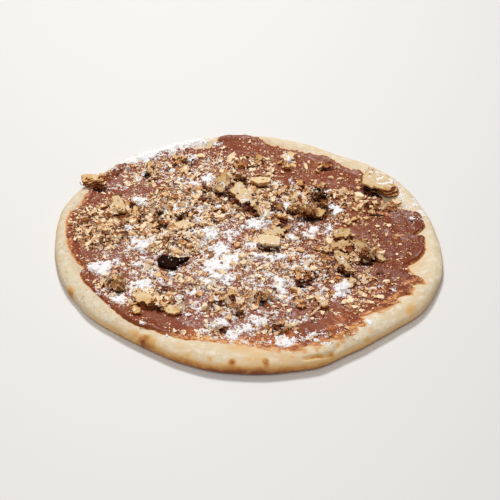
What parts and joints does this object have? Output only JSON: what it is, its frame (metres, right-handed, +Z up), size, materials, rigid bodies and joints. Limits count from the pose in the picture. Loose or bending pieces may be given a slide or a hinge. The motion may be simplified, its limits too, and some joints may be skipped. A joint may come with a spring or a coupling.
{
  "type": "chocolate hazelnut pizza",
  "caption": "Round sweet pizza: baked dough with a puffy rim, covered with chocolate hazelnut spread, broken wafer and crumbs, to be sliced and served.",
  "frame": {"origin": "middle of the pizza's box, on the flat underside that rests on the table", "axes": "+Z up, +X to the right and +Y away from the thick side of the rim"},
  "size_m": [0.293, 0.287, 0.021],
  "materials": {
    "dough": "pale baked dough, dry and dull, with a few browned spots",
    "spread": "milk-chocolate brown spread with a soft sheen and crumbs in it",
    "wafer": "dry light tan wafer, broken",
    "chocolate": "dark chocolate with a soft sheen"
  },
  "bodies": {
    "root": {"crust": "dough", "spread": "spread", "chocolate_shard": "chocolate", "wafer_slab": "wafer", "rim_chunk": "wafer", "long_flake": "wafer", "leaning_plate": "wafer", "brown_pile": "wafer", "square_wafer": "wafer", "broken_wafer": "wafer", "tan_plate": "wafer", "thin_bar": "wafer", "wafer_block": "wafer", "upper_sheet": "wafer", "dark_chunk": "wafer", "cluster_left": "wafer", "cluster_middle": "wafer", "cluster_right": "wafer", "pile_top": "wafer", "pile_curl": "wafer", "pile_bar": "wafer", "layered_bar": "wafer", "coated_chunk": "wafer", "pile_flake": "wafer", "pile_end": "wafer", "front_chunk": "wafer", "left_cluster": "wafer", "right_chunk": "wafer", "sugared_flake": "wafer", "flake_far_1": "wafer", "flake_far_2": "wafer", "flake_far_3": "wafer", "flake_far_4": "wafer", "flake_far_5": "wafer", "flake_far_6": "wafer", "flake_far_7": "wafer", "flake_far_8": "wafer", "flake_far_9": "wafer", "flake_mid_1": "wafer", "flake_mid_2": "wafer", "flake_mid_3": "wafer", "flake_mid_4": "wafer", "flake_mid_5": "wafer", "flake_mid_6": "wafer", "flake_mid_7": "wafer", "flake_near_1": "wafer", "flake_near_2": "wafer", "flake_near_3": "wafer", "flake_near_4": "wafer", "pile_near_1": "wafer", "pile_near_2": "wafer", "brown_lump_1": "wafer", "brown_lump_2": "wafer"}
  },
  "joints": []
}
